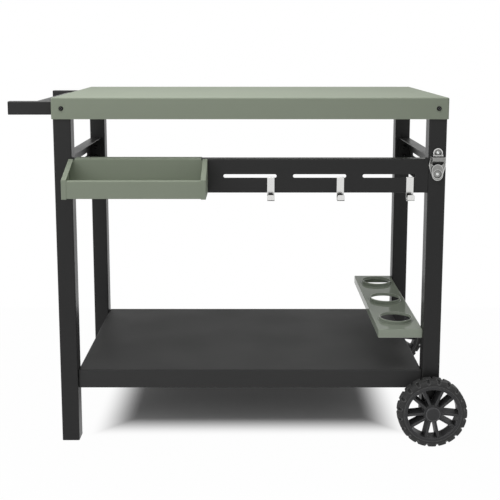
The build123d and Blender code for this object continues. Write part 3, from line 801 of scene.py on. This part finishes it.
@dataclass
class StripHooks:
    """Flat strips bent over the rail's slots, down its front and up into a lip."""

    finishes: FinishSet
    sheet: float = 1.6
    edge: float = 0.55
    edge_steps: int = 5
    end_corner: float = 2.5
    rail_grip: float = 3.7
    tail: float = 9.0
    lip: float = 14.0
    bend: float = 1.2
    bottom_bend: float = 9.5
    arc_steps: int = 14
    path_steps: int = 160

    def path(self, low: np.ndarray, high: np.ndarray) -> np.ndarray:
        """Middle line of the strip, seen from the side: tail, saddle, drop, curl and lip with soft corners.

        Args:
            low: Lowest corner of the hook's box, in mm.
            high: Highest corner of the hook's box, in mm.

        Returns:
            Depths and levels in mm, one row for each point, evenly close together.
        """
        half = self.sheet / 2
        back, seat, face, bottom = high[1] - half, high[2] - half, low[1] + half, low[2] + half
        drop = back - self.rail_grip
        line = np.array([(back, seat - self.tail), (back, seat), (drop, seat), (drop, bottom), (face, bottom),
                         (face, bottom + self.lip)])
        cuts = np.array([self.bend, self.bend, self.bottom_bend, self.bottom_bend])
        rounded = soft_corners(line, cuts, self.arc_steps, closed=False)
        lengths = run_lengths(rounded, closed=False)
        even = np.linspace(0.0, lengths[-1], self.path_steps)
        return np.stack([np.interp(even, lengths, rounded[:, i]) for i in (0, 1)], axis=-1)

    def section(self, width: float) -> np.ndarray:
        """Outline of the strip, across and through its thickness: a rectangle with soft corners.

        Args:
            width: The strip's width in mm.

        Returns:
            Places across and through the strip in mm, one row for each point.
        """
        x, y = width / 2, self.sheet / 2
        box = np.array([(-x, -y), (x, -y), (x, y), (-x, y)])
        return soft_corners(box, np.full(len(box), self.edge), self.edge_steps, closed=True)

    def hook(self, node: str) -> bpy.types.Object:
        """Carries the section along the path.

        At length s the section's point (a, b) goes to path(s) + a * width share(s) across + b * normal(s).
        The share narrows towards each end along a quarter circle, which rounds the strip's corners.

        Args:
            node: The hook's CAD node, which is also the name of its body.

        Returns:
            The hook, which rides its own body.
        """
        low, high = corners(node)
        path = self.path(low, high)
        lengths = run_lengths(path, closed=False)
        section = self.section(high[0] - low[0])
        tangent = np.gradient(path, axis=0)
        tangent /= np.linalg.norm(tangent, axis=1, keepdims=True)
        normal = np.stack([-tangent[:, 1], tangent[:, 0]], axis=-1)
        from_end = np.clip(np.minimum(lengths, lengths[-1] - lengths) / self.end_corner, 0.0, 1.0)
        trim = self.end_corner * (1.0 - np.sqrt(1.0 - (1.0 - from_end) ** 2))
        half = (high[0] - low[0]) / 2
        across = section[None, :, 0] * ((half - trim) / half)[:, None] + (low[0] + high[0]) / 2
        depth = path[:, None, 0] + section[None, :, 1] * normal[:, None, 0]
        level = path[:, None, 1] + section[None, :, 1] * normal[:, None, 1]
        points = np.stack([across, depth, level], axis=-1)[None]
        strip = surface(f"{node}_strip", points, lengths, run_lengths(section, closed=True), caps=True)
        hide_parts(node)
        return fitted(strip, node, self.finishes.nickel, "hook_chrome")

    def build(self) -> Iterator[bpy.types.Object]:
        """Makes the three hooks."""
        for node in ("hook_left", "hook_middle", "hook_right"):
            yield self.hook(node)


@dataclass
class BottleOpener:
    """The cast opener and its two screws."""

    finishes: FinishSet
    cast_edge: float = 1.1
    cast_edge_faces: int = 3

    def build(self) -> Iterator[bpy.types.Object]:
        """Rounds the casting's edges and makes its screws.

        Yields:
            Each piece.
        """
        casting = softened("bottle_opener", "bottle_opener_casting", self.cast_edge, self.cast_edge_faces)
        yield fitted(casting, "frame", self.finishes.cast, "cast_metal")
        yield OpenerScrews("opener_screws", self.finishes.zinc, (Facing.FRONT,), Outermost.HEADS).build()


@dataclass
class PushHandle:
    """The handle's arms, bar and plugs, and the bolts that hold the arms."""

    finishes: FinishSet
    cap_edge: float = 0.6
    cap_edge_faces: int = 3

    def build(self) -> Iterator[bpy.types.Object]:
        """Paints the tubes, softens the plugs and makes the bolt heads.

        Yields:
            Each piece.
        """
        yield from painted(self.finishes.black, "handle_arm_front", "handle_arm_rear", "handle_bar")
        caps = softened("handle_caps", "handle_caps_moulded", self.cap_edge, self.cap_edge_faces)
        yield fitted(caps, "frame", self.finishes.nylon, "black_plastic")
        yield HandleBolts("handle_bolts", self.finishes.oxide, (Facing.RIGHT,), Outermost.HEADS).build()


@dataclass
class Axle:
    """The through axle with its spacers, washers and nuts."""

    finishes: FinishSet

    def build(self) -> Iterator[bpy.types.Object]:
        """Plates the axle and what is on it."""
        yield from painted(self.finishes.zinc, "axle", "axle_washers", "axle_nuts")


@dataclass
class Wheel:
    """A moulded wheel: spoked rim, treaded tyre and hub cap.

    Attributes:
        finishes: The cart's finishes.
        side: The wheel's place in the names of its nodes.
        facing: The way that its outer side faces.
        step_out: How far the sidewall's step stands out from the tyre's seat, along the radius.
        step: How far the sidewall rises at the step.
        step_slope: How far the step's slope reaches to either side of the step, inwards and outwards.
        seat_cut: How far the corner at the seat is cut back.
        step_cut: How far the step's two corners are cut back.
        shoulder: How far the corner between sidewall and tread is cut back.
        corner_steps: Points on each of these corners.
        lugs: Lugs in each of the two rows round the tread.
        groove_width: Width of the grooves between the lugs.
        groove_depth: Depth of the grooves.
        groove_soft: Width of a groove's sloping wall.
        groove_start: Distances from the tyre's middle where a groove begins and where it is full.
        groove_end: Distances below the tread where a groove ends and where it is still full.
        turn_steps: Points round the tyre.
        section_steps: Points round the tyre's section.
        rim_edge: Width of the rim's rounded edges.
        rim_edge_faces: Faces across such an edge.
        cap_sink: How far the cap reaches into the hub.
        cap_edge: Height of the cap's edge, which is also how far it is cut back.
        cap_flat: Share of the cap's radius that is flat.
        cap_roll: How far the corner at that flat is cut back.
        cap_corner_steps: Points on each of the cap's corners.
        cap_segments: Points round the cap.
    """

    finishes: FinishSet
    side: str
    facing: Facing
    step_out: float = 6.0
    step: float = 1.5
    step_slope: tuple[float, float] = (0.8, 0.6)
    seat_cut: float = 0.6
    step_cut: float = 0.7
    shoulder: float = 7.0
    corner_steps: int = 8
    lugs: int = 20
    groove_width: float = 7.0
    groove_depth: float = 4.0
    groove_soft: float = 1.2
    groove_start: tuple[float, float] = (0.6, 2.4)
    groove_end: tuple[float, float] = (7.5, 4.0)
    turn_steps: int = 480
    section_steps: int = 96
    rim_edge: float = 0.5
    rim_edge_faces: int = 2
    cap_sink: float = 1.0
    cap_edge: float = 0.9
    cap_flat: float = 0.6
    cap_roll: float = 5.0
    cap_corner_steps: int = 10
    cap_segments: int = 96

    def sizes(self) -> tuple[np.ndarray, float, float]:
        """Middle of the wheel as one row, its radius and its width, in mm, from the tyre's CAD box."""
        low, high = corners(f"wheel_tyre_{self.side}")
        return (low + high)[None] / 2, (high - low)[2] / 2, (high - low)[1]

    def seat_radius(self) -> float:
        """Radius of the rim that carries the tyre, in mm, from the rim's CAD box."""
        low, high = corners(f"wheel_rim_{self.side}")
        return (high - low).max() / 2

    def tyre_profile(self, radius: float, width: float) -> np.ndarray:
        """Section of the smooth tyre: seat on the rim, sidewall with a step, round shoulder and flat tread.

        Args:
            radius: The wheel's radius in mm.
            width: The wheel's width in mm.

        Returns:
            Radii and heights along the axis in mm, one row for each point.
        """
        half, inner = width / 2, width / 2 - self.step
        seat = self.seat_radius()
        step_radius = seat + self.step_out
        side = np.array([(seat, inner), (step_radius - self.step_slope[0], inner),
                         (step_radius + self.step_slope[1], half), (radius, half)])
        outline = np.concatenate([side, side[::-1] * (1.0, -1.0)])
        cuts = np.array([self.seat_cut, self.step_cut, self.step_cut, self.shoulder])
        rounded = soft_corners(outline, np.concatenate([cuts, cuts[::-1]]), self.corner_steps, closed=True)
        lengths = run_lengths(rounded, closed=True)
        closed = np.concatenate([rounded, rounded[:1]])
        even = np.linspace(0.0, lengths[-1], self.section_steps, endpoint=False)
        return np.stack([np.interp(even, lengths, closed[:, i]) for i in (0, 1)], axis=-1)

    def tyre(self) -> bpy.types.Object:
        """Turns the section round the axle and presses the grooves into the tread.

        At turn f and height h along the axis, the radius drops by the groove's depth times a mask. The
        mask is 1 within half a groove's width of the nearest groove, falls softly to 0 beside it, and
        fades at the tread's middle rib and down the sidewall. The outer row of grooves lies half a lug
        off the inner row.

        Returns:
            The tyre, which rides its wheel.
        """
        centre, tread_radius, width = self.sizes()
        profile = self.tyre_profile(tread_radius, width)
        turn = np.arange(self.turn_steps) * TURN / self.turn_steps
        radius, height = profile[:, :1], profile[:, 1:]
        pitch = TURN / self.lugs
        stagger = np.where(height > 0.0, pitch / 2, 0.0)
        off_groove = np.abs(np.mod(turn[None] + stagger + pitch / 2, pitch) - pitch / 2) * tread_radius
        half = self.groove_width / 2
        mask = 1.0 - smooth_step(off_groove, half - self.groove_soft, half)
        mask = mask * smooth_step(np.abs(height), *self.groove_start)
        mask = mask * smooth_step(radius, *(tread_radius - np.array(self.groove_end)))
        pressed = np.stack(np.broadcast_arrays(radius - self.groove_depth * mask, height), axis=-1)
        points = lathe(pressed, centre, self.facing, self.turn_steps)
        section = run_lengths(profile, closed=True)
        around = np.arange(self.turn_steps + 1) * TURN * tread_radius / self.turn_steps
        tyre = surface(f"wheel_tyre_{self.side}_treaded", points, section, around)
        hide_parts(f"wheel_tyre_{self.side}")
        return fitted(tyre, f"wheel_{self.side}", self.finishes.tyre, "tyre_rubber")

    def cap(self) -> bpy.types.Object:
        """Turns the hub cap: a low crown whose edge rolls softly down to the hub.

        Returns:
            The cap, which rides its wheel.
        """
        centre, _, width = self.sizes()
        low, high = corners(f"hub_cap_{self.side}")
        rim, base = (high - low)[2] / 2, width / 2
        top = np.abs(np.array([low[1], high[1]]) - centre[0, 1]).max()
        line = np.array([(rim, base - self.cap_sink), (rim, base + self.cap_edge),
                         (rim * self.cap_flat, top), (0.0, top)])
        cuts = np.array([self.cap_edge, self.cap_roll])
        profile = soft_corners(line, cuts, self.cap_corner_steps, closed=False)
        points = lathe(profile, centre, self.facing, self.cap_segments)
        around = np.arange(self.cap_segments + 1) * TURN * rim / self.cap_segments
        cap = surface(f"hub_cap_{self.side}_crowned", points, run_lengths(profile, closed=False), around)
        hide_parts(f"hub_cap_{self.side}")
        return fitted(cap, f"wheel_{self.side}", self.finishes.rim, "wheel_plastic")

    def build(self) -> Iterator[bpy.types.Object]:
        """Makes the tyre, the softened rim and the cap.

        Yields:
            Each piece.
        """
        yield self.tyre()
        node = f"wheel_rim_{self.side}"
        rim = softened(node, f"{node}_moulded", self.rim_edge, self.rim_edge_faces)
        yield fitted(rim, f"wheel_{self.side}", self.finishes.rim, "wheel_plastic")
        yield self.cap()


# Studio, with its lengths in mm and the camera's pitch in radians


@dataclass
class Studio:
    """White surroundings, a pale floor that keeps the shadow, soft lights and the camera."""

    camera_place: tuple[float, float, float] = (20.75, -2206.2, 926.1)
    camera_pitch: float = 0.1419
    sensor: float = 36.0
    lens: float = 63.92
    shift: float = -0.16
    sight_end: float = 50000.0
    ambient: float = 0.27
    softbox_place: tuple[float, float, float] = (-250.0, -350.0, 1750.0)
    softbox_size: float = 1400.0
    softbox_watts: float = 10.0
    fill_place: tuple[float, float, float] = (-1300.0, -1700.0, 1150.0)
    fill_size: float = 1000.0
    fill_watts: float = 4.5
    glint: float = 0.1
    glint_degrees: float = 3.0
    glint_tilt: tuple[float, float] = (38.0, -14.0)
    paper: tuple[str, str] = ("#F6F6F6", "#FAFAFA")
    fibre: float = 3.0
    floor_radius: float = 6000.0
    floor_rings: int = 24
    floor_turns: int = 96
    shadow_fade: tuple[float, float] = (-125.0, -15.0)
    white_share: float = 0.985
    floor_end: tuple[float, float] = (0.0, 600.0)

    def seen(self, tree: bpy.types.NodeTree) -> bpy.types.NodeSocket:
        """Tells rays that look from rays that light.

        Args:
            tree: The nodes of a material or world.

        Returns:
            1 for rays from the camera, mirrors and glass, and 0 for the light that falls on surfaces.
        """
        path = add_node(tree, "ShaderNodeLightPath").outputs
        mirrors = add_node(tree, "ShaderNodeMath", {0: path["Is Glossy Ray"], 1: path["Is Transmission Ray"]},
                           operation="MAXIMUM")
        return add_node(tree, "ShaderNodeMath", {0: path["Is Camera Ray"], 1: mirrors.outputs[0]},
                        operation="MAXIMUM").outputs[0]

    def surroundings(self) -> None:
        """White where it is seen, and a lower, even light where it lights the cart."""
        world = bpy.data.worlds.new("studio white")
        bpy.context.scene.world = world
        tree = blank_tree(world)
        light = add_node(tree, "ShaderNodeBackground", {"Color": linear(WHITE), "Strength": self.ambient})
        white = add_node(tree, "ShaderNodeBackground", {"Color": linear(WHITE), "Strength": 1.0})
        mix = add_node(tree, "ShaderNodeMixShader", {
            0: self.seen(tree), 1: light.outputs[0], 2: white.outputs[0]})
        add_node(tree, "ShaderNodeOutputWorld", {"Surface": mix.outputs[0]})

    def floor_paper(self) -> bpy.types.Material:
        """White paper that is shown as lit and shadowed under the shelf, and turns plain white beside it.

        The share of plain white grows with the distance outside the shelf's outline, which at place p is
        the larger part of |p - middle| - half size, and is below 0 under the shelf.

        Returns:
            The paper's material.
        """
        material = bpy.data.materials.new("matt white paper")
        tree = blank_tree(material)
        place = add_node(tree, "ShaderNodeTexCoord").outputs["Object"]
        fibre = add_node(tree, "ShaderNodeTexNoise", {"Vector": place, "Scale": 1.0 / (self.fibre * MM)})
        colour = add_node(tree, "ShaderNodeMix", {
            "Factor": fibre.outputs["Fac"], "A": linear(self.paper[0]), "B": linear(self.paper[1])},
            data_type="RGBA")
        paper = add_node(tree, "ShaderNodeBsdfDiffuse", {"Color": colour.outputs["Result"]})
        white = add_node(tree, "ShaderNodeEmission", {"Color": linear(WHITE), "Strength": 1.0})
        low, high = corners("lower_shelf") * MM
        from_middle = add_node(tree, "ShaderNodeVectorMath", {0: place, 1: (low + high) / 2},
                               operation="SUBTRACT")
        folded = add_node(tree, "ShaderNodeVectorMath", {0: from_middle.outputs[0]}, operation="ABSOLUTE")
        outside = add_node(tree, "ShaderNodeVectorMath", {0: folded.outputs[0], 1: (high - low) / 2},
                           operation="SUBTRACT")
        parts = add_node(tree, "ShaderNodeSeparateXYZ", {0: outside.outputs[0]})
        distance = add_node(tree, "ShaderNodeMath", {0: parts.outputs["X"], 1: parts.outputs["Y"]},
                            operation="MAXIMUM")
        fades = [add_node(tree, "ShaderNodeMapRange", {
            "Value": distance.outputs[0], "From Min": start * MM, "From Max": end * MM, "To Max": full},
            interpolation_type="SMOOTHSTEP").outputs["Result"]
            for (start, end), full in ((self.shadow_fade, self.white_share), (self.floor_end, 1.0))]
        fade = add_node(tree, "ShaderNodeMath", {0: fades[0], 1: fades[1]}, operation="MAXIMUM")
        share = add_node(tree, "ShaderNodeMath", {0: fade.outputs[0], 1: self.seen(tree)},
                         operation="MULTIPLY")
        mix = add_node(tree, "ShaderNodeMixShader", {
            0: share.outputs[0], 1: paper.outputs[0], 2: white.outputs[0]})
        add_node(tree, "ShaderNodeOutputMaterial", {"Surface": mix.outputs[0]})
        return material

    def floor(self) -> None:
        """Lays a round sheet, whose point at ring r and turn f is (r cos f, r sin f, 0)."""
        radii = np.linspace(0.0, self.floor_radius, self.floor_rings)
        turn = np.arange(self.floor_turns + 1) * TURN / self.floor_turns
        across, deep = radii[:, None] * np.cos(turn[:-1]), radii[:, None] * np.sin(turn[:-1])
        points = np.stack([across, deep, np.zeros_like(across)], axis=-1)[None]
        floor = surface("studio_floor", points, radii, turn * self.floor_radius)
        floor.data.materials.append(self.floor_paper())

    def panel(self, name: str, place: tuple[float, float, float], aim: np.ndarray, size: float,
              watts: float) -> None:
        """Hangs a square soft panel that the camera does not see.

        Args:
            name: The panel's name.
            place: Its middle, in mm.
            aim: The point that it faces, in mm.
            size: Length of its sides, in mm.
            watts: Its power.
        """
        light = bpy.data.lights.new(name, "AREA")
        light.shape, light.size, light.energy = "SQUARE", size * MM, watts
        lamp = placed(name, light)
        lamp.location = [value * MM for value in place]
        lamp.rotation_euler = Vector(aim - np.array(place)).to_track_quat("-Z", "Y").to_euler()
        lamp.visible_camera = False

    def lights(self) -> None:
        """A soft box over the cart, a weak panel to its left, and a far lamp that puts glints on metal."""
        below = np.array(self.softbox_place) * (1.0, 1.0, 0.0)
        self.panel("softbox", self.softbox_place, below, self.softbox_size, self.softbox_watts)
        rail = corners("hook_rail").mean(axis=0)
        self.panel("fill_panel", self.fill_place, rail, self.fill_size, self.fill_watts)
        light = bpy.data.lights.new("glint_lamp", "SUN")
        light.energy, light.angle = self.glint, math.radians(self.glint_degrees)
        lamp = placed("glint_lamp", light)
        lamp.rotation_euler = (math.radians(self.glint_tilt[0]), math.radians(self.glint_tilt[1]), 0.0)

    def camera(self) -> None:
        """Sets the camera at the photograph's height and distance, looking slightly down."""
        data = bpy.data.cameras.new("camera")
        data.sensor_width = self.sensor
        data.lens = self.lens
        data.shift_y = self.shift
        data.clip_end = self.sight_end * MM
        camera = placed("camera", data)
        camera.location = [value * MM for value in self.camera_place]
        camera.rotation_euler = (TURN / 4 - self.camera_pitch, 0.0, 0.0)
        bpy.context.scene.camera = camera

    def build(self) -> None:
        """Sets up the whole studio."""
        bpy.context.scene.view_settings.view_transform = "Standard"
        self.surroundings()
        self.floor()
        self.lights()
        self.camera()


def main() -> None:
    """Builds the cart's sub-assemblies in order, then the studio, and reports each piece."""
    logging.basicConfig(level=logging.INFO, format="%(name)s: %(message)s")
    finishes = FinishSet()
    assemblies = [Worktop(finishes), LegFrame(finishes), LowerShelf(finishes), CupRack(finishes),
                  SpiceTray(finishes), StripHooks(finishes), BottleOpener(finishes), PushHandle(finishes),
                  Axle(finishes), Wheel(finishes, "front", Facing.FRONT),
                  Wheel(finishes, "rear", Facing.REAR)]
    for assembly in assemblies:
        for piece in assembly.build():
            LOG.info("%s: %s", type(assembly).__name__, piece.name)
    Studio().build()


if __name__ == "__main__":
    main()
